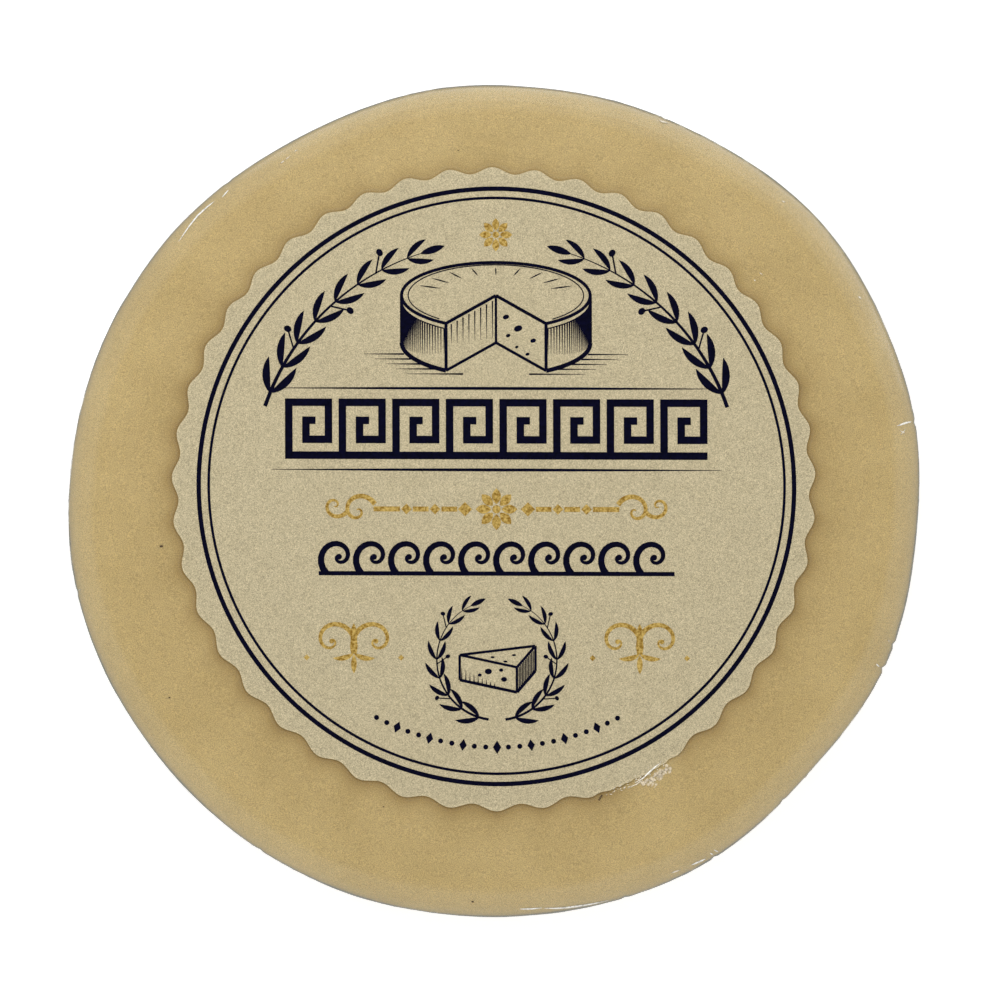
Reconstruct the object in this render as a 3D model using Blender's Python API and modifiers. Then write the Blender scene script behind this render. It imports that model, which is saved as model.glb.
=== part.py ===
"""A round wheel of saganaki cheese, vacuum packed in clear film, with a scalloped paper label on top.

Run it with: blender --background --python part.py
Units are metres. +Z is up through the label, +Y points to the top edge of the label and +X to its
right. The origin is on the table, under the middle of the wheel's bounding box.
"""

import math

import bpy
from mathutils import Vector

MM = 0.001

# The wheel, as it lies in its film
WHEEL_RADIUS = 59.0 * MM
WHEEL_HEIGHT = 26.0 * MM
LEVEL_RADIUS = 46.5 * MM
RIM_DROP = 0.4 * MM
TOP_ROUND = 4.5 * MM
BASE_ROUND = 3.5 * MM
SIDE_BULGE = 0.6 * MM

# Its hand-pressed outline: how many lobes go round it, how far each stands out, and where one faces
OUTLINE_LOBES = [
    (2, 0.83 * MM, 16.0),
    (3, 0.19 * MM, 45.0),
    (4, 0.08 * MM, 23.0),
    (5, 0.06 * MM, 30.0),
    (7, 0.16 * MM, -13.0),
]

# Where the film gathers into an upright pinch in the side: its direction in degrees, and its depth
FILM_PINCHES = [
    (10.0, 0.40 * MM),
    (66.0, 0.25 * MM),
    (130.0, 0.20 * MM),
    (192.0, 0.35 * MM),
    (236.0, 0.25 * MM),
    (281.0, 0.25 * MM),
    (303.0, 0.30 * MM),
    (338.0, 0.40 * MM),
]
PINCH_HALF_WIDTH = 5.0

# The label, a thin disc with a scalloped edge. Its scallops crowd a little along the top edge
LABEL_RADIUS = 44.5 * MM
LABEL_THICKNESS = 0.3 * MM
LABEL_GAP = 0.3 * MM
LABEL_OFFSET = Vector((-0.15 * MM, 1.6 * MM, 0.0))
SCALLOPS = 44
SCALLOP_DEPTH = 0.42 * MM
SCALLOP_CROWDING = 2.5

# How finely the round shapes are divided
TURN_STEPS = 144
ROUND_STEPS = 4
SIDE_STEPS = 4
POINTS_PER_SCALLOP = 8
MERGE_DISTANCE = 0.01 * MM

CHEESE_COLOUR = (0.58, 0.44, 0.21, 1.0)
PAPER_COLOUR = (0.58, 0.50, 0.33, 1.0)


def clear_scene():
    for obj in list(bpy.data.objects):
        bpy.data.objects.remove(obj)


def new_collection(name):
    collection = bpy.data.collections.new(name)
    bpy.context.scene.collection.children.link(collection)
    return collection


def plain_material(name, colour, roughness):
    material = bpy.data.materials.new(name)
    material.use_nodes = True
    shader = material.node_tree.nodes["Principled BSDF"]
    shader.inputs["Base Color"].default_value = colour
    shader.inputs["Roughness"].default_value = roughness
    shader.inputs["Metallic"].default_value = 0.0
    return material


def arc(centre, radius, start, end):
    """Points along an arc from start to end degrees, without the first one."""
    turns = [start + (end - start) * step / ROUND_STEPS for step in range(1, ROUND_STEPS + 1)]
    return [
        (
            centre[0] + radius * math.cos(math.radians(turn)),
            centre[1] + radius * math.sin(math.radians(turn)),
        )
        for turn in turns
    ]


def side_radius(height):
    """The upright side swells a little at half height, as a soft cheese does."""
    middle = WHEEL_HEIGHT / 2
    share = (height - middle) / middle
    return WHEEL_RADIUS - SIDE_BULGE * share * share


def wheel_profile():
    """Half of the wheel's section as (radius, height), from the middle of the top down to the base."""
    side_top = WHEEL_HEIGHT - RIM_DROP - TOP_ROUND
    shoulder = side_radius(side_top) - TOP_ROUND
    foot = side_radius(BASE_ROUND) - BASE_ROUND
    points = [
        (0.0, WHEEL_HEIGHT),
        (LEVEL_RADIUS, WHEEL_HEIGHT),
        ((LEVEL_RADIUS + shoulder) / 2, WHEEL_HEIGHT - RIM_DROP / 4),
        (shoulder, WHEEL_HEIGHT - RIM_DROP),
    ]
    points += arc((shoulder, side_top), TOP_ROUND, 90, 0)
    for step in range(1, SIDE_STEPS + 1):
        height = side_top + (BASE_ROUND - side_top) * step / SIDE_STEPS
        points.append((side_radius(height), height))
    points += arc((foot, BASE_ROUND), BASE_ROUND, 0, -90)
    points.append((0.0, 0.0))
    return points


def outline_offset(turn):
    """How far the outline stands out from a true circle in the direction turn, in degrees."""
    return sum(
        height * math.cos(lobes * math.radians(turn - facing))
        for lobes, height, facing in OUTLINE_LOBES
    )


def pinch_depth(turn):
    """How far the gathered film pulls the side in at the direction turn, in degrees."""
    depth = 0.0
    for direction, deepest in FILM_PINCHES:
        away = abs((turn - direction + 180.0) % 360.0 - 180.0)
        if away < PINCH_HALF_WIDTH:
            depth += deepest * math.cos(math.pi / 2 * away / PINCH_HALF_WIDTH) ** 2
    return depth


def turned_wheel(collection):
    """The section turned round the upright axis, as a true round wheel."""
    points = wheel_profile()
    section = bpy.data.meshes.new("wheel_section")
    edges = [(at, at + 1) for at in range(len(points) - 1)]
    section.from_pydata([(radius, 0.0, height) for radius, height in points], edges, [])
    turned = bpy.data.objects.new("turned_section", section)
    collection.objects.link(turned)
    screw = turned.modifiers.new("Screw", "SCREW")
    screw.axis = "Z"
    screw.steps = TURN_STEPS
    screw.render_steps = TURN_STEPS
    screw.use_merge_vertices = True
    screw.merge_threshold = MERGE_DISTANCE
    graph = bpy.context.evaluated_depsgraph_get()
    mesh = bpy.data.meshes.new_from_object(turned.evaluated_get(graph))
    bpy.data.objects.remove(turned)
    return mesh


def press_by_hand(mesh):
    """Gives the round wheel its uneven outline and the pinches of its film."""
    shoulder = WHEEL_RADIUS - TOP_ROUND
    for vertex in mesh.vertices:
        radius = math.hypot(vertex.co.x, vertex.co.y)
        if radius <= LEVEL_RADIUS:
            continue
        turn = math.degrees(math.atan2(vertex.co.y, vertex.co.x))
        outward = min(1.0, (radius - LEVEL_RADIUS) / (shoulder - LEVEL_RADIUS))
        upright = min(1.0, max(0.0, (radius - shoulder) / TOP_ROUND))
        moved = radius + outward * outline_offset(turn) - upright * pinch_depth(turn)
        vertex.co.x *= moved / radius
        vertex.co.y *= moved / radius


def middle_of(mesh):
    """The middle of the mesh's bounding box, seen from above."""
    along_x = [vertex.co.x for vertex in mesh.vertices]
    along_y = [vertex.co.y for vertex in mesh.vertices]
    return Vector(((min(along_x) + max(along_x)) / 2, (min(along_y) + max(along_y)) / 2, 0.0))


def make_wrapped_cheese(collection):
    """The wheel in its film, centred on the origin. Returns where its pressed centre was."""
    mesh = turned_wheel(collection)
    press_by_hand(mesh)
    middle = middle_of(mesh)
    for vertex in mesh.vertices:
        vertex.co -= middle
    mesh.shade_smooth()
    mesh.materials.append(plain_material("cheese_in_clear_film", CHEESE_COLOUR, 0.35))
    cheese = bpy.data.objects.new("wrapped_cheese", mesh)
    collection.objects.link(cheese)
    return -middle


def scallop_radius(turn):
    """The label's radius in the direction turn, in degrees."""
    even_turn = turn - SCALLOP_CROWDING * math.cos(math.radians(turn))
    return LABEL_RADIUS + SCALLOP_DEPTH * math.cos(math.radians(SCALLOPS * even_turn))


def make_label(collection, wheel_centre):
    """A flat outline curve, filled and given its thickness, just above the wheel's level top."""
    curve = bpy.data.curves.new("label_outline", "CURVE")
    curve.dimensions = "2D"
    curve.fill_mode = "BOTH"
    curve.extrude = LABEL_THICKNESS / 2
    spline = curve.splines.new("POLY")
    count = SCALLOPS * POINTS_PER_SCALLOP
    spline.points.add(count - 1)
    for at, point in enumerate(spline.points):
        turn = 360.0 * at / count
        radius = scallop_radius(turn)
        across = radius * math.cos(math.radians(turn))
        along = radius * math.sin(math.radians(turn))
        point.co = (across, along, 0.0, 1.0)
    spline.use_cyclic_u = True
    curve.materials.append(plain_material("cream_paper", PAPER_COLOUR, 0.75))
    label = bpy.data.objects.new("label", curve)
    label.location = wheel_centre + LABEL_OFFSET
    label.location.z = WHEEL_HEIGHT + LABEL_GAP + LABEL_THICKNESS / 2
    collection.objects.link(label)


def main():
    clear_scene()
    collection = new_collection("packed_saganaki_cheese")
    wheel_centre = make_wrapped_cheese(collection)
    make_label(collection, wheel_centre)


main()
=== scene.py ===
# %% [markdown]
# # A vacuum packed cheese with a paper label
#
# The object is a low round cheese for frying. It is sealed in clear shrink film, with a scalloped
# paper label lying flat on its top, under the film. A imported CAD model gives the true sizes. This
# notebook loads it as a fixed frame, and builds the cheese, the film, the label and its print in
# place of its plain solids. Every length is in metres, +Z is up, and +Y is the label's top.

# %% Load the frame
import math
import random
from collections import namedtuple

import bmesh
import bpy
from mathutils import Matrix, Vector, noise


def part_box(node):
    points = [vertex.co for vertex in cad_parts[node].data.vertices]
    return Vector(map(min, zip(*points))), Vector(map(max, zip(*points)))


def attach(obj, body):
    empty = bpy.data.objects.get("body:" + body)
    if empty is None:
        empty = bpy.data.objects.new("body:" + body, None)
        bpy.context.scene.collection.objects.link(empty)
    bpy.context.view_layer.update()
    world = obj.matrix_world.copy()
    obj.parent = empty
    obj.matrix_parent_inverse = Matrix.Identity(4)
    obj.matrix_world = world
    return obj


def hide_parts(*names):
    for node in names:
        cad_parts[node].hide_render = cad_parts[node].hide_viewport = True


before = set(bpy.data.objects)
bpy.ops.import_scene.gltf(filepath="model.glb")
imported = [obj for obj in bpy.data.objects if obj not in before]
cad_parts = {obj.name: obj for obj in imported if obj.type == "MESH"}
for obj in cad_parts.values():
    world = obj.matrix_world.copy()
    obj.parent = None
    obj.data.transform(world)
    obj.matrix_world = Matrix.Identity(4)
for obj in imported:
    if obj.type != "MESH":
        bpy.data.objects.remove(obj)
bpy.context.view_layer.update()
MM = 0.001
wheel_low, wheel_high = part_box("wrapped_cheese")
label_low, label_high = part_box("label")
print("wheel in mm", [round(side / MM, 1) for side in wheel_high - wheel_low])

# %% [markdown]
# ## The outline of the wheel
#
# A hand-pressed cheese is never a true circle. Its outline could be traced point by point, but a
# few slow waves round a circle say the same in a line each, and are easy to change. Each wave has
# a number of lobes, a height and the direction that one lobe faces. The CAD solid is centred on
# its bounding box, so the centre of the circle is found again from the box of its waves. The film
# lies a hair further out, and a few finer waves make the small flats and swellings of its edge.

# %% Outline of the wheel
WHEEL_RADIUS = 59.0 * MM
OUTLINE_LOBES = [
    (2, 0.83, 16.0), (3, 0.19, 45.0), (4, 0.08, 23.0), (5, 0.06, 30.0), (7, 0.16, -13.0),
]
FILM_SLACK = 0.13 * MM
FINE_LOBES = [
    (1, 0.076, -46.9), (6, 0.077, -18.7), (8, 0.053, 17.8), (9, 0.066, 16.3),
    (10, 0.057, 10.2), (11, 0.059, 7.5), (12, 0.042, 9.2),
]


def facing(turn):
    """The level direction at turn degrees, counted from +X towards +Y."""
    return Vector((math.cos(math.radians(turn)), math.sin(math.radians(turn)), 0.0))


def lobes_at(waves, turn):
    """The sum, in metres, of waves whose heights are given in millimetres."""
    return MM * sum(tall * math.cos(lobes * math.radians(turn - at)) for lobes, tall, at in waves)


def slow_outline(turn):
    return WHEEL_RADIUS + lobes_at(OUTLINE_LOBES, turn)


def outline(turn):
    return slow_outline(turn) + FILM_SLACK + lobes_at(FINE_LOBES, turn)


def middle(values):
    return (min(values) + max(values)) / 2


rim_points = [facing(turn) * slow_outline(turn) for turn in range(360)]
rim_middle = Vector((middle([p.x for p in rim_points]), middle([p.y for p in rim_points]), 0.0))
box_middle = Vector(((wheel_low.x + wheel_high.x) / 2, (wheel_low.y + wheel_high.y) / 2, 0.0))
WHEEL_CENTRE = box_middle - rim_middle
print("centre of the pressed circle in mm", [round(c / MM, 2) for c in WHEEL_CENTRE])

# %% [markdown]
# ## The edge of the label
#
# The label is punched from paper with a wavy edge of rounded scallops. One cosine makes them all.
# On the real punch they sit a little closer together along the top, so the angle that goes into
# the cosine drifts slowly round the circle. The damp paper has also stretched a little from corner
# to corner, which a few slow lobes describe as they do for the wheel.

# %% Edge of the label
LABEL_RADIUS = 44.55 * MM
LABEL_SHIFT = Vector((-0.09 * MM, 1.62 * MM, 0.0))
LABEL_CENTRE = WHEEL_CENTRE + LABEL_SHIFT
SCALLOPS = 44
SCALLOP_DEPTH = 0.47 * MM
SCALLOP_CROWDING = 2.5
SCALLOP_START = 0.38
LABEL_LOBES = [(2, 0.154, -45.0), (3, 0.066, 53.0), (4, 0.062, 15.0), (5, 0.046, -33.0)]
CRUMPLE_AT = 296.0
CRUMPLE_HALF = 7.5
CRUMPLE_BORDER = 1.5
CRUMPLE_OUT = 0.38 * MM
CRUMPLE_RAGGED = 0.22 * MM
RAGGED_TEETH = 70


def smooth_step(low, high, value):
    share = min(1.0, max(0.0, (value - low) / (high - low)))
    return share * share * (3 - 2 * share)


def apart(turn, other):
    """The angle between two directions, in degrees."""
    return abs((turn - other + 180) % 360 - 180)


def crumpled(turn):
    """1 where the film has crumpled the label's edge, and 0 elsewhere."""
    away = apart(turn, CRUMPLE_AT)
    return 1 - smooth_step(CRUMPLE_HALF - CRUMPLE_BORDER, CRUMPLE_HALF, away)


def label_edge(turn):
    """The label's radius at turn degrees."""
    even_turn = turn - SCALLOP_CROWDING * math.cos(math.radians(turn)) - SCALLOP_START
    scallop = SCALLOP_DEPTH * math.cos(math.radians(SCALLOPS * even_turn))
    stretch = lobes_at(LABEL_LOBES, turn)
    ragged = CRUMPLE_OUT + CRUMPLE_RAGGED * noise.noise(facing(turn) * RAGGED_TEETH)
    crumple = crumpled(turn)
    return LABEL_RADIUS + stretch + scallop * (1 - crumple) + ragged * crumple


print("label across in mm", round((label_high.x - label_low.x) / MM, 1))

# %% [markdown]
# ## Helpers for round sheets
#
# The film, the skin of the cheese and the paper are all round sheets laid over something. A spin
# would make them, but a spin of hundreds of steps is slow. A flat grid, with rings across and steps
# along, is made in a moment. Each of its vertices knows its ring and its turn, and is laid in its
# place on the wheel, as a cook lines a tin with paper. The first and last steps then merge.

# %% A grid to lay round the wheel
MERGE = 0.002 * MM


def round_grid(bm, rings, steps):
    """A flat grid as a list of its vertices, each with its ring's number and turn in degrees."""
    grid = bmesh.ops.create_grid(bm, x_segments=rings - 1, y_segments=steps, size=0.5)["verts"]
    laid = []
    for vertex in grid:
        ring = round((vertex.co.x + 0.5) * (rings - 1))
        step = round((vertex.co.y + 0.5) * steps)
        laid.append((vertex, ring, 360.0 * (step % steps) / steps))
    return laid


def finish_piece(bm, name, body="root", smooth=True):
    """Closes the mesh, points its faces outwards and makes it an object that rides on a body."""
    bmesh.ops.remove_doubles(bm, verts=bm.verts, dist=MERGE)
    bmesh.ops.recalc_face_normals(bm, faces=bm.faces)
    mesh = bpy.data.meshes.new(name)
    bm.to_mesh(mesh)
    bm.free()
    if smooth:
        mesh.shade_smooth()
    piece = bpy.data.objects.new(name, mesh)
    bpy.context.scene.collection.objects.link(piece)
    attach(piece, body)
    print(name, len(mesh.vertices), "vertices,", len(mesh.polygons), "faces")
    return piece


# %% [markdown]
# ## The section of the wheel
#
# From the middle of the top to the middle of the base, the surface goes through six stretches:
# under the label, from the label's edge to the shoulder, round the shoulder, down the side, round
# the foot, and in under the base. A station is one ring on that way. It says how far the ring is
# between the label's scallops and the wheel's outline, so the rings turn from one shape into the
# other, how high it is, and which way the surface faces there.

# %% Stations from the top to the base
TOP = wheel_high.z + 0.19 * MM
RIM_DROP = 0.40 * MM
SHOULDER_REACH = 4.8 * MM
SHOULDER_DROP = 4.6 * MM
SIDE_TOP = TOP - RIM_DROP - SHOULDER_DROP
FOOT_ROUND = 3.5 * MM
SIDE_BULGE = 0.6 * MM

# One ring. Its lean is the way it faces: 0 is up, 90 is out and 180 is down
RING_PARTS = "height mix label_share inset hold lean"
Station = namedtuple("Station", RING_PARTS, defaults=(1.0, 1.0, 0.0, 1.0, 0.0))


def side_inset(height):
    """How far the upright side is in from its widest at this height."""
    half = wheel_high.z / 2
    return SIDE_BULGE * ((height - half) / half) ** 2


def shoulder_station(angle):
    """A ring round the shoulder. At 90 degrees it is level and at 0 upright."""
    out, up = math.cos(math.radians(angle)), math.sin(math.radians(angle))
    lean = math.degrees(math.atan2(out / SHOULDER_REACH, up / SHOULDER_DROP))
    inset = side_inset(SIDE_TOP) + SHOULDER_REACH * (1 - out)
    return Station(SIDE_TOP + SHOULDER_DROP * up, inset=inset, lean=lean)


def wheel_stations(under_label, level, shoulder, side, foot, base):
    """All the rings, with the number of them in each stretch."""
    rings = []
    for at in range(under_label):
        rings.append(Station(TOP, mix=0.0, label_share=(at / under_label) ** 0.7))
    for at in range(level):
        share = (at / level) ** 1.5
        inset = side_inset(SIDE_TOP) + SHOULDER_REACH
        rings.append(Station(TOP - RIM_DROP * share**2, mix=share, inset=inset))
    for at in range(shoulder):
        rings.append(shoulder_station(90 - 90 * at / shoulder))
    for at in range(side):
        height = SIDE_TOP + (FOOT_ROUND - SIDE_TOP) * at / side
        rings.append(Station(height, inset=side_inset(height), lean=90.0))
    for at in range(foot):
        angle = math.radians(90 * at / foot)
        inset = side_inset(FOOT_ROUND) + FOOT_ROUND * (1 - math.cos(angle))
        height = FOOT_ROUND * (1 - math.sin(angle))
        rings.append(Station(height, inset=inset, lean=90 + math.degrees(angle)))
    for at in range(base + 1):
        hold = 1 - (at / base) ** 0.8
        inset = (side_inset(FOOT_ROUND) + FOOT_ROUND) * hold
        rings.append(Station(0.0, inset=inset, hold=hold, lean=180.0))
    return rings


print("top of the cheese at", round(TOP / MM, 2), "mm")

# %% [markdown]
# ## Pinches in the side
#
# Flat film shrunk round a wheel has too much length at the side, and gathers there. In a few places
# the gather is deep enough to press a narrow nick into the soft cheese. They could be cut by
# hand. A bell curve for each, with its direction, depth and half width, is easier to move about.

# %% Pinches and the place of a ring
PINCHES = [
    (10.5, 0.14, 0.40), (66.0, 0.08, 0.45), (130.0, 0.08, 0.45), (192.3, 0.10, 0.40),
    (236.0, 0.10, 0.45), (288.1, 0.10, 0.40), (301.6, 0.16, 0.40), (313.8, 0.14, 0.40),
    (336.6, 0.26, 0.36), (340.1, 0.20, 0.36),
]
PINCH_REACH = 5
LIP_SHARE = 0.3
LIP_AWAY = 2.0


def pinch(turn):
    """How far the side is pressed in at turn degrees, with a raised lip beside each pinch."""
    pressed = 0.0
    for at, deep, half in PINCHES:
        away = apart(turn, at) / half
        if away < PINCH_REACH:
            lip = LIP_SHARE * math.exp(-((away - LIP_AWAY) ** 2))
            pressed += deep * MM * (math.exp(-away * away) - lip)
    return pressed


def on_wheel(ring, turn):
    """The point of a ring at turn degrees, and the way that the surface faces there."""
    way = facing(turn)
    upright = smooth_step(30, 75, ring.lean) * (1 - smooth_step(110, 170, ring.lean))
    by_label = LABEL_CENTRE + way * label_edge(turn) * ring.label_share
    out_to = outline(turn) * ring.hold - ring.inset - pinch(turn) * upright
    point = by_label.lerp(WHEEL_CENTRE + way * out_to, ring.mix)
    point.z = ring.height
    lean = math.radians(ring.lean)
    return point, way * math.sin(lean) + Vector((0.0, 0.0, math.cos(lean)))


print(len(PINCHES), "pinches, the deepest", max(deep for at, deep, half in PINCHES), "mm")

# %% [markdown]
# ## Dents in the cheese
#
# Pressed curd has shallow dents and low bumps, which break up the reflections on its film. They
# could be a displacement modifier with a noise texture. Here the same noise is added while the
# rings are laid, so the film and the cheese share it and never cut through each other. It fades
# out under the label, which needs a level bed, and on the base, which stands on the table.

# %% Dents shared by the cheese and its film
DENT_SIZE = 13.0 * MM
DENT_DEPTH = 0.14 * MM
PIT_SIZE = 3.2 * MM
PIT_DEPTH = 0.03 * MM


def dents(point, ring):
    """How far the surface stands out or in at this point."""
    wide = DENT_DEPTH * noise.noise(point / DENT_SIZE)
    fine = PIT_DEPTH * noise.noise(point / PIT_SIZE)
    clear_of_label = smooth_step(0.05, 0.7, ring.mix)
    clear_of_base = 1 - smooth_step(120, 170, ring.lean)
    return (wide + fine) * clear_of_label * clear_of_base


print("dents up to", round(DENT_DEPTH / MM, 2), "mm")

# %% [markdown]
# ## The cheese
#
# The cheese is one solid body. A sculpted sphere would do, but the stations already hold its exact
# section, so its skin is one laid grid with its last ring gathered to a point under the base. A
# number is painted on its vertices while it is made, for the colour later: how much painted shade
# a point takes beside the label's edge.

# %% Make the cheese
SHEET_STEPS = SCALLOPS * 14
CHEESE_STATIONS = wheel_stations(under_label=8, level=22, shoulder=18, side=14, foot=8, base=16)
CHEESE_UNDER_FILM = 0.07 * MM
# Painted shade on the cheese beside the label's edge. It fades outwards, and is lighter at the top,
# where the light comes from, and at the crumple
SHADE_STARTS = 0.25 * MM
SHADES = [(0.68, 0.9 * MM), (0.32, 4.5 * MM)]
SPARED_AT_TOP = 0.4
SHADE_LESS_AT = 299.0
SHADE_LESS_SHARE = 0.75


def label_shade(from_label, turn):
    """How much painted shade darkens the cheese this far outside the label, less at the top and at
    the crumple.
    """
    away = max(0.0, from_label - SHADE_STARTS)
    fade = sum(dark * math.exp(-away / reach) for dark, reach in SHADES)
    towards_top = max(0.0, math.sin(math.radians(turn))) ** 2
    near_crumple = 1 - smooth_step(3.0, 9.0, apart(turn, SHADE_LESS_AT))
    return fade * (1 - SPARED_AT_TOP * towards_top) * (1 - SHADE_LESS_SHARE * near_crumple)


def make_cheese():
    bm = bmesh.new()
    painted_label_shade = bm.verts.layers.float.new("painted_label_shade")
    for vertex, number, turn in round_grid(bm, len(CHEESE_STATIONS), SHEET_STEPS):
        ring = CHEESE_STATIONS[number]
        point, out = on_wheel(ring, turn)
        point += out * (dents(point, ring) - CHEESE_UNDER_FILM)
        from_label = (point - LABEL_CENTRE).xy.length - label_edge(turn)
        vertex[painted_label_shade] = label_shade(from_label, turn)
        vertex.co = point
    return finish_piece(bm, "cheese")


cheese = make_cheese()
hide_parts("wrapped_cheese")

# %% [markdown]
# ## Helpers for materials
#
# A finish is a small graph of nodes. These helpers add a node and set its sockets in a line, so
# that each finish below reads as a list of what it is made of.

# %% Node helpers
def new_finish(name):
    """An empty material, and its node tree."""
    material = bpy.data.materials.new(name)
    material.use_nodes = True
    material.node_tree.nodes.clear()
    return material, material.node_tree


def add_node(tree, kind, settings=None, **sockets):
    """Adds a node. A socket's value can be a plain value or another node's output."""
    node = tree.nodes.new("ShaderNode" + kind)
    for name, value in (settings or {}).items():
        setattr(node, name, value)
    for name, value in sockets.items():
        socket = node.inputs[int(name[1:]) if name[1:].isdigit() else name.replace("_", " ")]
        if isinstance(value, bpy.types.NodeSocket):
            tree.links.new(value, socket)
        else:
            socket.default_value = value
    return node


def noise_of(tree, where, size, detail=2.0):
    """Noise whose spots are about size metres wide."""
    texture = add_node(tree, "TexNoise", Vector=where, Scale=1 / size, Detail=detail)
    return texture.outputs["Fac"]


def blend_colours(tree, share, first, second, kind="MIX"):
    settings = {"data_type": "RGBA", "blend_type": kind}
    return add_node(tree, "Mix", settings, s0=share, s6=first, s7=second).outputs[2]


def rescale(tree, value, low, high, new_low, new_high):
    node = add_node(tree, "MapRange", s0=value, s1=low, s2=high, s3=new_low, s4=new_high)
    return node.outputs[0]


def clouds_of(tree, where, size, detail, low, high):
    """Noise spread out, so that low becomes 0 and high becomes 1."""
    return rescale(tree, noise_of(tree, where, size, detail), low, high, 0.0, 1.0)


def maths(tree, operation, first, second):
    return add_node(tree, "Math", {"operation": operation}, s0=first, s1=second).outputs[0]


def bump_of(tree, height, strength, depth):
    """The way that the surface seems to face when this height is raised on it."""
    bump = add_node(tree, "Bump", Strength=strength, Distance=depth, Height=height)
    return bump.outputs["Normal"]


def object_place(tree):
    return add_node(tree, "TexCoord").outputs["Object"]


def painted(tree, name):
    """The number painted on the vertices under this name."""
    return add_node(tree, "Attribute", {"attribute_name": name}).outputs["Fac"]


def set_surface(tree, kind="BsdfPrincipled", **sockets):
    """Makes a shader, with these sockets, the surface of the material."""
    add_node(tree, "OutputMaterial", Surface=add_node(tree, kind, **sockets).outputs[0])


print("node helpers ready")

# %% [markdown]
# ## The finish of the cheese
#
# The cheese is a warm cream-yellow, a little translucent, with a fine grain and slow cloudy
# changes of tone. Close to the label's edge a browner tint is painted shade, less on the top side
# where the light comes from.
# The light that passes through the surface is Subsurface on the Principled shader. Its radius is
# longest in red, which keeps the shaded side warm.

# %% Finish the cheese
CHEESE_WARM = (0.487, 0.359, 0.150, 1.0)
CHEESE_PALE = (0.525, 0.392, 0.171, 1.0)
# The tint of the painted shade beside the label's edge
LABEL_SHADE_TINT = (0.58, 0.51, 0.38, 1.0)


def grained(tree, colour, where, size, amount):
    """Makes a colour lighter and darker in fine grains."""
    value = rescale(tree, noise_of(tree, where, size), 0.3, 0.7, 1 - amount, 1 + amount)
    return add_node(tree, "HueSaturation", Value=value, Color=colour).outputs[0]


def cheese_finish():
    material, tree = new_finish("cream_yellow_cheese")
    where = object_place(tree)
    clouds = clouds_of(tree, where, 9 * MM, 3.0, 0.35, 0.65)
    colour = blend_colours(tree, clouds, CHEESE_WARM, CHEESE_PALE)
    # Painted shade beside the label's edge
    colour = blend_colours(tree, painted(tree, "painted_label_shade"), colour, LABEL_SHADE_TINT, "MULTIPLY")
    colour = grained(tree, colour, where, 0.9 * MM, 0.03)
    colour = grained(tree, colour, where, 0.13 * MM, 0.32)
    set_surface(
        tree,
        Base_Color=colour,
        Roughness=0.5,
        Subsurface_Weight=0.15,
        Subsurface_Radius=(1.0, 0.6, 0.25),
        Subsurface_Scale=1.5 * MM,
        Normal=bump_of(tree, noise_of(tree, where, 0.55 * MM), 0.25, 0.05 * MM),
    )
    return material


cheese.data.materials.append(cheese_finish())

# %% [markdown]
# ## The paper of the label
#
# The label is a thin sheet of uncoated paper. A filled curve would give its outline, but the film
# needs to know the same rings, and a paper edge is not quite level. So it is a laid grid too. Its
# outer rings lift and dip by a few hundredths of a millimetre, and it gets its thickness by
# solidify once it is laid. The cut edge stays sharp, and a painted number marks a paler band of
# paper along it.

# %% Make the label
PAPER_TOP = 26.35 * MM
PAPER_THICKNESS = 0.18 * MM
PAPER_RINGS = 40
LEVEL_SHARE = 0.945
EDGE_LIFT = 0.03 * MM


def place_paper(ring, turn):
    share = (ring / (PAPER_RINGS - 1)) ** 0.5
    point = LABEL_CENTRE + facing(turn) * label_edge(turn) * share
    edge = smooth_step(LEVEL_SHARE, 1.0, share)
    point.z = PAPER_TOP + edge * EDGE_LIFT * noise.noise(point / (3 * MM))
    return point


def make_label():
    bm = bmesh.new()
    paler_edge = bm.verts.layers.float.new("paler_edge")
    for vertex, ring, turn in round_grid(bm, PAPER_RINGS, SHEET_STEPS):
        vertex.co = place_paper(ring, turn)
        vertex[paler_edge] = 1.0 if ring == PAPER_RINGS - 1 else 0.0
    bmesh.ops.remove_doubles(bm, verts=bm.verts, dist=MERGE)
    bmesh.ops.recalc_face_normals(bm, faces=bm.faces)
    if sum(face.normal.z for face in bm.faces) < 0:
        bmesh.ops.reverse_faces(bm, faces=bm.faces)
    bmesh.ops.solidify(bm, geom=bm.faces, thickness=PAPER_THICKNESS)
    for edge in bm.edges:
        edge.smooth = edge.calc_face_angle(0.0) < math.radians(40)
    return finish_piece(bm, "paper_label")


paper_label = make_label()
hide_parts("label")

# %% [markdown]
# ## The finish of the paper
#
# Uncoated paper in a food pack is cream, slightly stained, with a cloudy look where the fibres lie
# thicker, and a fine tooth. Three sizes of noise do it: clouds, fibres and tooth. The fibres are
# the walls between the cells of a Voronoi texture whose places are pushed about by noise, which
# turns straight walls into short curved threads.

# %% Finish the paper
PAPER_CREAM = (0.490, 0.416, 0.259, 1.0)
PAPER_PALE = (0.519, 0.443, 0.280, 1.0)
PAPER_EDGE = (0.585, 0.495, 0.305, 1.0)
PAPER_FIBRE = (0.400, 0.350, 0.215, 1.0)
FIBRE_SIZE = 1.1 * MM
FIBRE_PUSH = 1.6 * MM


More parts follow.
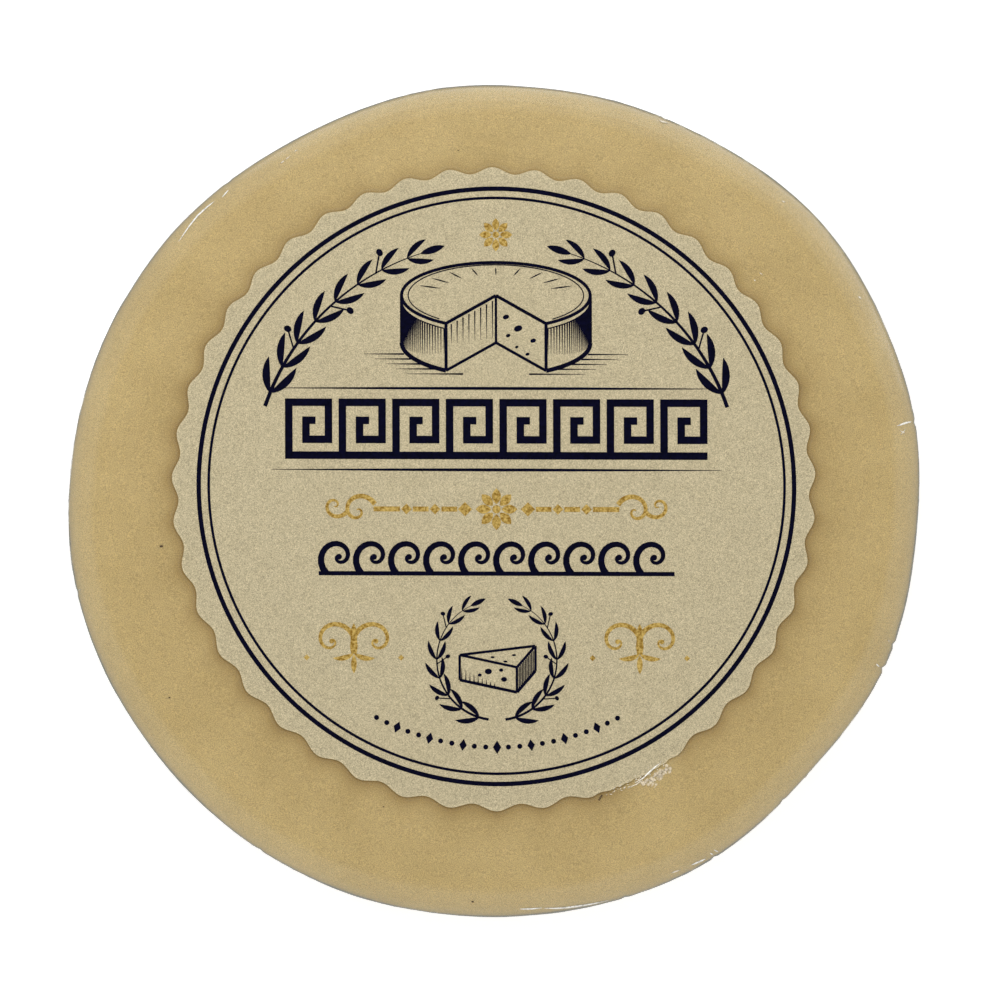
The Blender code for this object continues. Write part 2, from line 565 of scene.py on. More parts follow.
def paper_finish():
    material, tree = new_finish("cream_paper")
    where = object_place(tree)
    clouds = clouds_of(tree, where, 1.6 * MM, 4.0, 0.35, 0.65)
    colour = blend_colours(tree, clouds, PAPER_CREAM, PAPER_PALE)
    push = add_node(tree, "TexNoise", Vector=where, Scale=1 / MM, Detail=2.0).outputs["Color"]
    how = {"operation": "MULTIPLY_ADD"}
    pushed = add_node(tree, "VectorMath", how, s0=push, s1=(FIBRE_PUSH,) * 3, s2=where)
    walls = {"feature": "DISTANCE_TO_EDGE"}
    cells = add_node(tree, "TexVoronoi", walls, Vector=pushed.outputs[0], Scale=1 / FIBRE_SIZE)
    fibres = rescale(tree, cells.outputs["Distance"], 0.0, 0.09, 0.2, 0.0)
    colour = blend_colours(tree, fibres, colour, PAPER_FIBRE)
    # A paler band painted along the cut edge
    edge = rescale(tree, painted(tree, "paler_edge"), 0.2, 1.0, 0.0, 0.8)
    colour = blend_colours(tree, edge, colour, PAPER_EDGE)
    colour = grained(tree, colour, where, 0.5 * MM, 0.05)
    colour = grained(tree, colour, where, 0.11 * MM, 0.44)
    tooth = bump_of(tree, noise_of(tree, where, 0.28 * MM), 0.25, 0.03 * MM)
    set_surface(tree, Base_Color=colour, Roughness=0.7, Normal=tooth)
    return material


paper_label.data.materials.append(paper_finish())

# %% [markdown]
# ## Drawing with ink
#
# Print is flat shapes of ink on the paper. A picture texture would blur close up, so each shape is
# a thin piece of its own. A pen stroke starts as a straight strip of squares, and its two rows of
# vertices are moved to either side of the path. With a width that swells and thins, one stroke is
# also a leaf. The shapes are drawn in millimetres about the middle of the print, then scaled,
# skewed as the paper is stretched, and given a hair of thickness. Two faces at one height would
# flicker where strokes cross, so each new stroke lies a micron above or below the last.

# %% The pen
PRINT_CENTRE = LABEL_CENTRE + Vector((0.28 * MM, 0.36 * MM, 0.0))
PRINT_SKEW = -0.0027
INK_GAP = 0.002 * MM
INK_HEIGHT = 0.010 * MM
INK_LEVELS = 11
LEVEL_STEP = 0.0012
ARC_STEPS = 30
CURL_SWEEP = 470


def next_level(bm):
    """The height of the next stroke, in millimetres."""
    return LEVEL_STEP * (len(bm.faces) % INK_LEVELS)


def sweep_normal(points, at):
    """Across the path at one of its points, longer at a corner, so that the width stays even."""
    before = points[max(0, at - 1)]
    after = points[min(len(points) - 1, at + 1)]
    into = (points[at] - before).normalized()
    onward = (after - points[at]).normalized()
    along = (into + onward).normalized()
    shorten = max(0.5, along.dot(onward if onward.length else into))
    return Vector((-along.y, along.x, 0.0)) / shorten


def pen_stroke(bm, path, width, swell=None):
    """A flat stroke along path, in millimetres. swell(share) scales the width on the way."""
    points = [Vector((x, y, 0.0)) for x, y in path]
    last = len(points) - 1
    lift = Vector((0.0, 0.0, next_level(bm)))
    strip = bmesh.ops.create_grid(bm, x_segments=last, y_segments=1, size=0.5)["verts"]
    for vertex in strip:
        at = round((vertex.co.x + 0.5) * last)
        half = 0.5 * width * (swell(at / last) if swell else 1.0)
        side = 1 if vertex.co.y > 0 else -1
        vertex.co = points[at] + sweep_normal(points, at) * half * side + lift


def swell_leaf(share):
    return 0.04 + 0.96 * math.sin(math.pi * share) ** 0.8


def swell_middle(share):
    return 0.12 + 0.88 * math.sin(math.pi * share)


def fade_away(share):
    return 1.0 - 0.8 * share


def shares_of(steps):
    return [at / steps for at in range(steps + 1)]


def between(start, end, share):
    return (start[0] + (end[0] - start[0]) * share, start[1] + (end[1] - start[1]) * share)


def below(point, drop):
    return (point[0], point[1] - drop)


def round_point(centre, radius, turn):
    way = facing(turn)
    return (centre[0] + radius * way.x, centre[1] + radius * way.y)


def arc_path(centre, radius, start, end):
    return [round_point(centre, radius, start + (end - start) * s) for s in shares_of(ARC_STEPS)]


def straight(start, end, steps=1):
    return [between(start, end, share) for share in shares_of(steps)]


def curl_path(centre, radius, start, swept):
    """A spiral that starts wide at an angle, sweeps this many degrees and closes on its eye."""
    path = []
    for share in shares_of(ARC_STEPS):
        reach = radius * (1.55 * (1 - share) ** 1.6 + 0.12)
        path.append(round_point(centre, reach, start + swept * share))
    return path


def line(bm, start, end, width, swell=None, steps=1):
    pen_stroke(bm, straight(start, end, steps), width, swell)


def dot(bm, at, radius, segments=16, turn=0.0, squash=1.0):
    """A filled round, or with four segments a diamond."""
    place = Matrix.Translation((at[0], at[1], next_level(bm)))
    place = place @ Matrix.Rotation(math.radians(turn), 4, "Z")
    place = place @ Matrix.Diagonal((1.0, squash, 1.0, 1.0))
    bmesh.ops.create_circle(bm, cap_ends=True, segments=segments, radius=radius, matrix=place)


def add_mirrored(bm):
    """Adds the mirror image across the print's upright middle line."""
    everything = bm.verts[:] + bm.edges[:] + bm.faces[:]
    bmesh.ops.mirror(bm, geom=everything, axis="X", merge_dist=-1.0)


def print_shapes(bm, name, slot):
    """Turns the plan, in millimetres, into thin ink or gold on the paper."""
    bmesh.ops.scale(bm, vec=(MM, MM, MM), verts=bm.verts)
    skew = Matrix(((1.0, PRINT_SKEW, 0.0), (PRINT_SKEW, 1.0, 0.0), (0.0, 0.0, 1.0))).to_4x4()
    bmesh.ops.transform(bm, matrix=skew, verts=bm.verts)
    lift = Vector((0.0, 0.0, PAPER_TOP + INK_GAP))
    bmesh.ops.translate(bm, vec=PRINT_CENTRE + lift, verts=bm.verts)
    down = [face for face in bm.faces if face.normal.z < 0]
    bmesh.ops.reverse_faces(bm, faces=down)
    new = bmesh.ops.extrude_face_region(bm, geom=bm.faces[:])["geom"]
    raised = [item for item in new if isinstance(item, bmesh.types.BMVert)]
    bmesh.ops.translate(bm, vec=(0.0, 0.0, INK_HEIGHT), verts=raised)
    piece = finish_piece(bm, name, smooth=False)
    piece.data.materials.append(PRINT_FINISHES[slot])


print("ink is", INK_HEIGHT / MM, "mm thick")

# %% [markdown]
# ## Ink and gold
#
# The ink is a navy so dark that it is nearly black, printed slightly unevenly. The gold is stamped
# foil. The paper's tooth shows through it, so it glints where it tilts to the light; a bump on a
# half metallic shader does that. Its patchy colour, dark brown in places and bright in others, is
# painted glint and painted dark reflection.

# %% Finish the ink and the gold
NAVY_DEEP = (0.0006, 0.0006, 0.006, 1.0)
NAVY_WORN = (0.0018, 0.0018, 0.016, 1.0)
GOLD_PAINTED_DARK = (0.36, 0.19, 0.018, 1.0)
GOLD_PAINTED_GLINT = (0.86, 0.60, 0.17, 1.0)


def ink_finish():
    material, tree = new_finish("navy_ink")
    where = object_place(tree)
    patchy = clouds_of(tree, where, 0.5 * MM, 3.0, 0.3, 0.7)
    colour = blend_colours(tree, patchy, NAVY_DEEP, NAVY_WORN)
    set_surface(tree, Base_Color=colour, Roughness=0.45, Specular_IOR_Level=0.03)
    return material


def gold_finish():
    material, tree = new_finish("dull_gold")
    where = object_place(tree)
    # Painted glint and painted dark reflection: the foil's colour runs between them in patches
    patchy = clouds_of(tree, where, 0.32 * MM, 2.0, 0.33, 0.66)
    colour = blend_colours(tree, patchy, GOLD_PAINTED_DARK, GOLD_PAINTED_GLINT)
    tooth = bump_of(tree, noise_of(tree, where, 0.45 * MM), 0.9, 0.08 * MM)
    set_surface(tree, Base_Color=colour, Roughness=0.35, Metallic=0.45, Normal=tooth)
    return material


PRINT_FINISHES = {"navy_ink": ink_finish(), "gold_foil": gold_finish()}

# %% [markdown]
# ## The border
#
# Two navy rings frame the print, the outer one bold and the inner one fine. They are set a little
# off the middle of the punched paper, as printing and punching are two steps that never quite
# agree. A short edge spun right round makes each ring.

# %% Print the border
RING_STEPS = 240


def ring(bm, radius, width, centre=(0.0, 0.0, 0.0)):
    inner = bm.verts.new((centre[0] + radius - width / 2, centre[1], 0.0))
    outer = bm.verts.new((centre[0] + radius + width / 2, centre[1], 0.0))
    edge = bm.edges.new((inner, outer))
    bmesh.ops.spin(
        bm,
        geom=[inner, outer, edge],
        cent=centre,
        axis=(0.0, 0.0, 1.0),
        angle=math.radians(360),
        steps=RING_STEPS,
        use_merge=True,
    )


border = bmesh.new()
ring(border, 41.65, 0.63)
ring(border, 40.28, 0.38, (0.03, 0.07, 0.0))
print_shapes(border, "navy_border", "navy_ink")

# %% [markdown]
# ## The engraved cheese
#
# In the upper part stands a small engraving of a cheese wheel with a wedge cut from it. An engraver
# makes shade from parallel lines, thicker where it is darker. So the side of the wheel is a row of
# upright strokes, heavier towards its turned-away ends.

# %% Print the engraved cheese
ROUND_AT = (0.0, 26.7)
ROUND_HALF = 13.2
ROUND_SQUASH = 0.35
ROUND_TALL = 6.6
CUT_FROM = 238.0
CUT_TO = 302.0
SIDE_STROKES = 26
TOP_STROKES = 9
CUT_STROKES = 8
GROUND_LINES = 5


def oval_point(turn, drop=0.0, share=1.0):
    """A point on the engraved wheel's oval top, or straight below it."""
    x = ROUND_AT[0] + share * ROUND_HALF * math.cos(math.radians(turn))
    y = ROUND_AT[1] + share * ROUND_HALF * ROUND_SQUASH * math.sin(math.radians(turn))
    return (x, y - drop)


def oval_arc(start, end, drop=0.0, share=1.0, steps=24):
    return [oval_point(start + (end - start) * s, drop, share) for s in shares_of(steps)]


def engraved_outlines(bm):
    pen_stroke(bm, oval_arc(CUT_TO - 360, CUT_FROM, steps=60), 0.45)
    pen_stroke(bm, oval_arc(CUT_TO - 352, CUT_FROM - 8, share=0.93, steps=60), 0.16)
    for start, end in ((180.0, CUT_FROM), (CUT_TO, 360.0)):
        pen_stroke(bm, oval_arc(start, end, ROUND_TALL), 0.6)
        pen_stroke(bm, oval_arc(start, end, 0.75), 0.18)
    for turn in (180.0, CUT_FROM, CUT_TO, 360.0):
        line(bm, oval_point(turn), oval_point(turn, ROUND_TALL), 0.45)
    inner_low = below(ROUND_AT, ROUND_TALL)
    line(bm, ROUND_AT, inner_low, 0.35)
    for turn in (CUT_FROM, CUT_TO):
        line(bm, ROUND_AT, oval_point(turn), 0.45)
        line(bm, inner_low, oval_point(turn, ROUND_TALL), 0.4)


def engraved_shading(bm):
    for start, end in ((181.0, CUT_FROM - 1.5), (CUT_TO + 1.5, 359.0)):
        for at in range(SIDE_STROKES):
            turn = start + (end - start) * at / (SIDE_STROKES - 1)
            dark = abs(math.cos(math.radians(turn)))
            low = ROUND_TALL * (0.45 + 0.5 * dark**1.5)
            thick = 0.14 + 0.22 * dark**3
            line(bm, oval_point(turn, 0.8), oval_point(turn, low), thick, fade_away, 3)
    for at in range(TOP_STROKES):
        turn = 20 + at * 17.5
        line(bm, oval_point(turn, 0, 0.62), oval_point(turn, 0, 0.86), 0.2, swell_middle, 4)
    for at in range(CUT_STROKES):
        share = (at + 0.6) / (CUT_STROKES + 0.5)
        top = between(ROUND_AT, oval_point(CUT_FROM), share)
        low = below(top, ROUND_TALL * (0.9 - 0.45 * share))
        line(bm, below(top, 0.5), low, 0.2, fade_away, 3)


def engraved_holes(bm):
    holes = ((1.4, -3.0, 0.46), (3.1, -4.6, 0.6), (5.2, -6.3, 0.42), (1.7, -5.6, 0.34))
    for x, y, size in holes + ((4.4, -8.2, 0.3), (2.9, -7.2, 0.26)):
        dot(bm, (ROUND_AT[0] + x, ROUND_AT[1] + y), size, 14, 20, 0.7)


def engraved_ground(bm):
    deep = ROUND_HALF * ROUND_SQUASH
    for at in range(GROUND_LINES):
        low = deep * (0.35 + 0.15 * at)
        y = ROUND_AT[1] - ROUND_TALL - low
        inner = ROUND_HALF * math.sqrt(1 - (low / deep) ** 2) + 0.5
        for side in (-1, 1):
            line(bm, (side * inner, y), (side * (18.5 - 1.5 * at), y), 0.24, fade_away, 4)


engraving = bmesh.new()
engraved_outlines(engraving)
engraved_shading(engraving)
engraved_holes(engraving)
engraved_ground(engraving)
print_shapes(engraving, "navy_cheese_engraving", "navy_ink")

# %% [markdown]
# ## The olive branches
#
# An olive branch on each side follows the border. Its stem is a thinning stroke along an arc. The
# leaves leave it in pairs, each a stroke that swells in the middle, and a few round olives hang
# on short stalks between them. The right branch is the left one mirrored.

# %% Print the olive branches
def leaf_path(root, heading, length, bend):
    """A path that leaves root at heading degrees and curves by bend degrees."""
    return [round_point(root, length * share, heading + bend * share) for share in shares_of(8)]


def olive_branch(bm, centre, radius, start, end, pairs, leaf, olive):
    """A branch that grows along an arc from start to end, in degrees."""
    pen_stroke(bm, arc_path(centre, radius, start, end), leaf * 0.11, fade_away)
    sense = 1 if end > start else -1
    for at in range(pairs):
        share = at / pairs
        turn = start + (end - start) * (at + 0.5) / pairs
        root = round_point(centre, radius, turn)
        size = leaf * (1.0 - 0.3 * share)
        for side in (-1, 1):
            heading = turn + sense * 90 - side * 44
            pen_stroke(bm, leaf_path(root, heading, size, side * 20), size * 0.215, swell_leaf)
        if at % 2 and at < pairs - 1:
            away = radius + leaf * (0.45 if at % 4 == 1 else -0.45)
            hang = round_point(centre, away, start + (end - start) * (at + 1.72) / pairs)
            stalk = round_point(centre, radius, start + (end - start) * (at + 1.28) / pairs)
            line(bm, stalk, hang, leaf * 0.045)
            dot(bm, hang, olive, 18, turn, 0.8)
    tip = round_point(centre, radius, end)
    heading = end + sense * 90
    pen_stroke(bm, leaf_path(tip, heading, leaf * 0.7, 0), leaf * 0.2, swell_leaf)


branches = bmesh.new()
olive_branch(branches, (0.0, 0.0), 34.2, 161.0, 108.0, 8, 5.1, 0.55)
add_mirrored(branches)
print_shapes(branches, "navy_olive_branches", "navy_ink")

# %% [markdown]
# ## The key band
#
# Across the middle runs a key band, the old border of square hooks on a running line. One hook is
# six strokes of one pen without lifting it, and the band repeats it. A rule above and one below
# hold it.

# %% Print the key band
BAND_AT = 8.0
BAND_TALL = 7.4
BAND_LINE = 1.06
HOOKS = 8
HOOK_WIDE = 7.5
RULE_AWAY = 2.0
RULE_HALF = 31.5


def key_hook(x, low):
    """The corners of one hook, from its lower left."""
    steps = [(0, 0), (0, 1), (0.74, 1), (0.74, 0.30), (0.32, 0.30), (0.32, 0.66), (0.50, 0.66)]
    return [(x + HOOK_WIDE * right, low + BAND_TALL * up) for right, up in steps]


key_band = bmesh.new()
band_left = -(HOOKS * HOOK_WIDE) / 2 + 0.13 * HOOK_WIDE
band_low = BAND_AT - BAND_TALL / 2
for at in range(HOOKS):
    pen_stroke(key_band, key_hook(band_left + at * HOOK_WIDE, band_low), BAND_LINE)
band_ends = (band_left - BAND_LINE / 2, band_left + (HOOKS - 0.26) * HOOK_WIDE + BAND_LINE / 2)
line(key_band, (band_ends[0], band_low), (band_ends[1], band_low), BAND_LINE)
for y in (band_low + BAND_TALL + RULE_AWAY, band_low - RULE_AWAY):
    line(key_band, (-RULE_HALF, y), (RULE_HALF, y), 0.42, swell_middle, 12)
print_shapes(key_band, "navy_key_band", "navy_ink")

# %% [markdown]
# ## The gold divider
#
# Under the band a line of dull gold is broken by a rosette and diamonds, and ends in curls. The
# rosette is eight leaf strokes round a dot.

# %% Print the gold
GOLD_AT = -3.2
PETALS = 8


def rosette(bm, at, size):
    for petal in range(PETALS):
        turn = 360 * petal / PETALS
        root = round_point(at, size * 0.25, turn)
        line(bm, root, round_point(at, size, turn), size * 0.44, swell_leaf, 6)
    dot(bm, at, size * 0.2)


def gold_divider(bm):
    for x, size in ((4.4, 1.0), (8.6, 0.75), (12.6, 0.75)):
        dot(bm, (x, GOLD_AT), size, 4)
    for start, end in ((5.5, 7.7), (9.5, 11.7), (13.5, 17.2)):
        line(bm, (start, GOLD_AT), (end, GOLD_AT), 0.7, steps=4)
    pen_stroke(bm, curl_path((19.4, GOLD_AT - 0.3), 1.55, 158, -CURL_SWEEP), 0.72, fade_away)
    pen_stroke(bm, curl_path((22.6, GOLD_AT + 0.5), 1.15, 205, CURL_SWEEP), 0.6, fade_away)


gold = bmesh.new()
gold_divider(gold)
add_mirrored(gold)
rosette(gold, (0.0, GOLD_AT), 2.9)
rosette(gold, (0.0, 35.2), 2.3)
print_shapes(gold, "gold_divider", "gold_foil")

# %% [markdown]
# ## The running wave
#
# Below the gold comes a navy wave, the running scroll of old borders. Each wave is one spiral that
# rises from the line below it, rolls over and closes on its eye.

# %% Print the running wave
WAVE_AT = -9.9
WAVES = 10
WAVE_WIDE = 4.9
WAVE_RADIUS = 1.75

wave = bmesh.new()
wave_line = WAVE_AT - WAVE_RADIUS * 1.32
for at in range(WAVES):
    eye = ((at - (WAVES - 1) / 2) * WAVE_WIDE, WAVE_AT)
    pen_stroke(wave, curl_path(eye, WAVE_RADIUS, 232, -500), 0.95, fade_away)
    dot(wave, eye, 0.42, 12)
half_line = WAVES * WAVE_WIDE / 2 + 0.4
line(wave, (-half_line, wave_line), (half_line, wave_line), 0.6)
print_shapes(wave, "navy_running_wave", "navy_ink")

# %% [markdown]
# ## The foot of the label
#
# At the foot stands a wreath of two sprigs round a wedge of cheese. A row of lozenges and dots
# follows the border below.

# %% Print the wreath and the wedge
WREATH_AT = (0.0, -24.3)
WEDGE_TIP = (-5.2, -23.6)
WEDGE_FRONT = (2.8, -25.3)
WEDGE_BACK = (5.4, -22.3)
WEDGE_TALL = 3.5
FRONT_STROKES = 12
TIP_STROKES = 9
LOZENGES_AT = 36.5
LOZENGE_TURN = 2.5


def wedge(bm):
    corners = [WEDGE_TIP, WEDGE_FRONT, WEDGE_BACK]
    for start, end in zip(corners, corners[1:] + corners[:1]):
        line(bm, start, end, 0.36)
    for start, end in zip(corners, corners[1:]):
        line(bm, below(start, WEDGE_TALL), below(end, WEDGE_TALL), 0.42)
    for corner in corners:
        line(bm, corner, below(corner, WEDGE_TALL), 0.36)
    for at in range(FRONT_STROKES):
        top = between(WEDGE_FRONT, WEDGE_BACK, (at + 0.5) / FRONT_STROKES)
        line(bm, below(top, 0.3), below(top, WEDGE_TALL - 0.1), 0.15, steps=3)
    for at in range(TIP_STROKES):
        top = between(WEDGE_TIP, WEDGE_FRONT, (at + 0.5) / 14)
        high = below(top, WEDGE_TALL * 0.5 + at * 0.15)
        line(bm, below(top, WEDGE_TALL - 0.2), high, 0.18, fade_away, 3)
    holes = ((-1.2, -25.9, 0.5), (1.0, -27.0, 0.42), (0.6, -25.7, 0.3), (-2.4, -26.4, 0.28))
    for x, y, size in holes:
        dot(bm, (x, y), size, 14, 0, 0.8)
    for x, y in ((-0.6, -23.9), (2.4, -23.6), (1.2, -24.5)):
        dot(bm, (x, y), 0.3, 12, 0, 0.5)


foot = bmesh.new()
olive_branch(foot, WREATH_AT, 8.4, 262.0, 116.0, 8, 3.4, 0.34)
for at in range(1, 12):
    turn = 270 + at * LOZENGE_TURN
    spot = round_point((0.0, 0.0), LOZENGES_AT, turn)
    dot(foot, spot, *((0.85, 4, turn, 0.62) if at % 3 == 0 else (0.36, 12)))
add_mirrored(foot)
dot(foot, (0.0, -LOZENGES_AT), 0.95, 4, 90, 0.62)
wedge(foot)
print_shapes(foot, "navy_wreath_and_wedge", "navy_ink")

# %% [markdown]
# ## The gold flourishes
#
# A gold flourish stands on each side of the wreath. Two curls roll away from one root, with leaves
# above and below it. The left one is the right one mirrored.

# %% Print the gold flourishes
FLOURISH_AT = (20.0, -23.4)

flourish = bmesh.new()
for side in (-1, 1):
    eye = (FLOURISH_AT[0] + side * 3.1, FLOURISH_AT[1] + 1.7)
    start = math.degrees(math.atan2(FLOURISH_AT[1] - eye[1], FLOURISH_AT[0] - eye[0]))
    reach = math.dist(eye, FLOURISH_AT) / 1.67
    pen_stroke(flourish, curl_path(eye, reach, start, -side * CURL_SWEEP), 0.75, fade_away)
    dot(flourish, eye, 0.34, 12)
    leaf = leaf_path(FLOURISH_AT, 270 + side * 52, 3.0, side * 25)
    pen_stroke(flourish, leaf, 0.72, swell_leaf)
    dot(flourish, (FLOURISH_AT[0] + side * 6.6, FLOURISH_AT[1] - 0.6), 0.42, 4)
pen_stroke(flourish, leaf_path(below(FLOURISH_AT, -0.6), 90, 3.6, 0), 0.95, swell_leaf)
pen_stroke(flourish, leaf_path(below(FLOURISH_AT, 0.2), 270, 2.6, 0), 0.8, swell_leaf)
add_mirrored(flourish)
print_shapes(flourish, "gold_flourishes", "gold_foil")

# %% [markdown]
# ## The film
#
# The film is shrunk tight on the cheese and over the label. It could be the cheese's mesh made a
# little larger, but real film bridges hollows: beside the label's edge it slopes down from the
# paper to the cheese, and round the side it gathers into fine upright pleats and a few deeper
# pinches, because flat film has to lose length there. The gathers are added as heights while the
# sheet is laid, with more rings down the side than the cheese has.

# %% Make the film
FILM_STATIONS = wheel_stations(under_label=10, level=24, shoulder=34, side=30, foot=12, base=24)
FILM_OVER_LABEL = PAPER_TOP + 0.05 * MM
TENT_REACH = 0.9 * MM
PLEAT_TALL = 0.13 * MM
PLEAT_APART = 2.4 * MM
PLEAT_LONG = 16 * MM


def pleats(turn, ring):
    """Fine upright gathers, strongest just under the shoulder and above the foot."""
    lean = ring.lean
    upright = smooth_step(45, 88, lean) * (1 - smooth_step(100, 160, lean))
    middle_height = 1 - abs(ring.height / wheel_high.z - 0.5) * 2
    strength = upright * (1.0 - 0.65 * smooth_step(0.2, 0.8, middle_height))
    way = facing(turn) * WHEEL_RADIUS / PLEAT_APART
    drift = Vector((0.0, 0.0, ring.height / PLEAT_LONG))
    sharp = (1 - min(1.0, abs(noise.noise(way + drift)) * 3.2)) ** 2
    patch = smooth_step(-0.2, 0.35, noise.noise(way / 6 + drift * 2 + Vector((7.0, 3.0, 1.0))))
    return PLEAT_TALL * sharp * strength * (0.35 + 0.65 * patch)


def tent(from_label):
    """How far the film stands off the cheese, this far outside the label's edge."""
    return (FILM_OVER_LABEL - TOP) * (1 - smooth_step(-0.05 * MM, TENT_REACH, from_label))


def make_film():
    bm = bmesh.new()
    for vertex, number, turn in round_grid(bm, len(FILM_STATIONS), SHEET_STEPS):
        ring = FILM_STATIONS[number]
        point, out = on_wheel(ring, turn)
        point += out * (dents(point, ring) + pleats(turn, ring))
        if ring.lean < 20:
            by_share = -LABEL_RADIUS * (1 - ring.label_share)
            from_edge = (point - LABEL_CENTRE).xy.length - label_edge(turn)
            point.z += tent(min(by_share, 0.0) if ring.mix == 0.0 else from_edge)
        point.z = max(0.0, point.z)
        vertex.co = point
    return finish_piece(bm, "clear_film")


clear_film = make_film()
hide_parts("wrapped_cheese")

# %% [markdown]
# ## The finish of the film
#
# Thin clear film doesn't bend light, it only reflects some of it: a few per cent when seen square
# on, and nearly all at a grazing angle. A Fresnel node mixes a Transparent and a Glossy shader by
# that rule. A full glass shader would refract the cheese and cost many more samples. Light that
# comes back out from under the film must pass freely, so the gloss is only on its front.

# %% Finish the film
FILM_CLEAR = (0.985, 0.985, 0.98, 1.0)
FILM_SHEEN = (0.83, 0.89, 0.86, 1.0)


def film_finish():
    material, tree = new_finish("clear_shrink_film")
    where = object_place(tree)
    bumped = bump_of(tree, noise_of(tree, where, 2.2 * MM, 3.0), 0.2, 0.05 * MM)
    fresnel = add_node(tree, "Fresnel", IOR=1.45, Normal=bumped).outputs[0]
    behind = add_node(tree, "NewGeometry").outputs["Backfacing"]
    share = maths(tree, "MULTIPLY", fresnel, maths(tree, "SUBTRACT", 1.0, behind))
    clear = add_node(tree, "BsdfTransparent", Color=FILM_CLEAR).outputs[0]
    gloss = add_node(tree, "BsdfGlossy", Color=FILM_SHEEN, Roughness=0.15, Normal=bumped)
    set_surface(tree, "MixShader", s0=share, s1=clear, s2=gloss.outputs[0])
    return material


clear_film.data.materials.append(film_finish())

# %% [markdown]
# ## Creases of the film
#
# Where shrunk film folds on itself it catches the light: a long streak at the upper left and one
# along the bottom, dashes and ticks on the rim, two short ones beside the label, and the crumple at
# its lower right edge. Each crease is a tiny tapering tube on the film, coloured white as a
# painted glint.
# A grid is rolled round its path, and both ends close to a point. Its width is given as seen from
# above, so on the steep rim the tube is made wider. A painted number says how near a point is to
# the tube's crest, so that faint creases can fade out at their borders.

# %% Lay creases on the film
CREASES = [
    ([(140.8, 1.62), (138.0, 1.22), (136.2, 1.02), (134.5, 1.04), (133.1, 1.12)], 0.23),
    ([(132.0, 1.40), (130.6, 1.15)], 0.19),
    ([(273.4, 0.95), (275.0, 0.86), (276.6, 0.84)], 0.20),
    ([(276.8, 0.76), (278.5, 0.52), (280.4, 0.38), (282.7, 0.28), (286.0, 0.20)], 0.24),
    ([(298.3, 0.62), (299.4, 0.45), (300.5, 0.32)], 0.26),
    ([(301.4, 0.75), (301.6, 0.22)], 0.20),
    ([(302.1, 0.80), (302.4, 0.20)], 0.22),
    ([(10.7, 0.35), (10.7, 1.20), (10.5, 2.50)], 0.28),
    ([(336.6, 0.30), (336.8, 0.90)], 0.20),
    ([(296.2, 14.50), (298.0, 14.60), (299.6, 14.92), (301.0, 15.12), (302.0, 15.20)], 0.22),
]
FAINT_CREASES = [
    ([(122.5, 2.20), (121.7, 2.10)], 0.26),
    ([(121.7, 2.10), (120.6, 1.95)], 0.14),
    ([(119.9, 1.75), (119.4, 1.65)], 0.24),
    ([(66.9, 0.80), (65.3, 0.55)], 0.34),
    ([(46.3, 1.70), (45.7, 1.45)], 0.26),
    ([(29.4, 1.80), (28.8, 1.55)], 0.28),
    ([(295.2, 0.95), (296.7, 0.75)], 0.26),
    ([(317.6, 0.34), (319.0, 0.24)], 0.26),
    ([(9.1, 2.30), (9.6, 1.70), (10.0, 1.20)], 0.18),
    ([(9.9, 2.30), (9.5, 1.80), (9.3, 1.40)], 0.18),
    ([(340.3, 0.35), (340.5, 0.80)], 0.22),
    ([(192.1, 0.30), (192.2, 0.80)], 0.20),
    ([(40.5, 12.36), (40.1, 12.27)], 0.22),
    ([(40.9, 11.12), (40.0, 10.94)], 0.14),
    ([(294.9, 14.30), (296.4, 14.25), (297.8, 14.40)], 0.22),
]


def film_spot(turn, inside):
    """A point on the film this many metres inside the slow outline, and the way it faces."""
    way = facing(turn)
    from_middle = slow_outline(turn) - inside
    point = WHEEL_CENTRE + way * from_middle
    inside = outline(turn) - from_middle
    shoulder_at = side_inset(SIDE_TOP) + SHOULDER_REACH
    if inside < shoulder_at:
        out = 1 - (inside - side_inset(SIDE_TOP)) / SHOULDER_REACH
        ring = shoulder_station(math.degrees(math.acos(min(1.0, out))))
        lifted = 0.0
    else:
        from_centre = point - LABEL_CENTRE
        about_label = math.degrees(math.atan2(from_centre.y, from_centre.x))
        from_label = from_centre.xy.length - label_edge(about_label)
        share = max(0.0, from_label) / (max(0.0, from_label) + inside - shoulder_at)
        ring = Station(TOP - RIM_DROP * share**2, mix=share)
        lifted = tent(from_label)
    lean = math.radians(ring.lean)
    normal = way * math.sin(lean) + Vector((0.0, 0.0, math.cos(lean)))
    point.z = ring.height
    point += normal * dents(point, ring)
    point.z += lifted
    return point, normal


def lay_crease(bm, soft, path, width, height=0.35, steps=24, around=8):
    """A tapering tube along a path of turns and millimetres inside the outline."""
    tube = bmesh.ops.create_grid(bm, x_segments=steps, y_segments=around, size=0.5)["verts"]
    for vertex in tube:
        share = vertex.co.x + 0.5
        angle = 2 * math.pi * (vertex.co.y + 0.5)
        along = share * (len(path) - 1)
        first = min(int(along), len(path) - 2)
        spot = between(path[first], path[first + 1], along - first)
        nudged = between(path[first], path[first + 1], along - first + 0.01)
        point, normal = film_spot(spot[0], spot[1] * MM)
        ahead = film_spot(nudged[0], nudged[1] * MM)[0]
        across = (ahead - point).normalized().cross(normal)
        half = 0.5 * width * MM * math.sin(math.pi * share) ** 0.6 / max(0.35, across.xy.length)
        vertex.co = point + half * (across * math.cos(angle) + normal * height * math.sin(angle))
        vertex[soft] = math.sin(math.pi * share) * max(0.0, math.sin(angle))


def lay_creases(creases, name):
    """Lays all the creases of a list as one piece."""
    bm = bmesh.new()
    soft = bm.verts.layers.float.new("soft")
    for path, width, *form in creases:
        lay_crease(bm, soft, path, width, *form)
    return finish_piece(bm, name)


film_creases = lay_creases(CREASES, "film_creases")

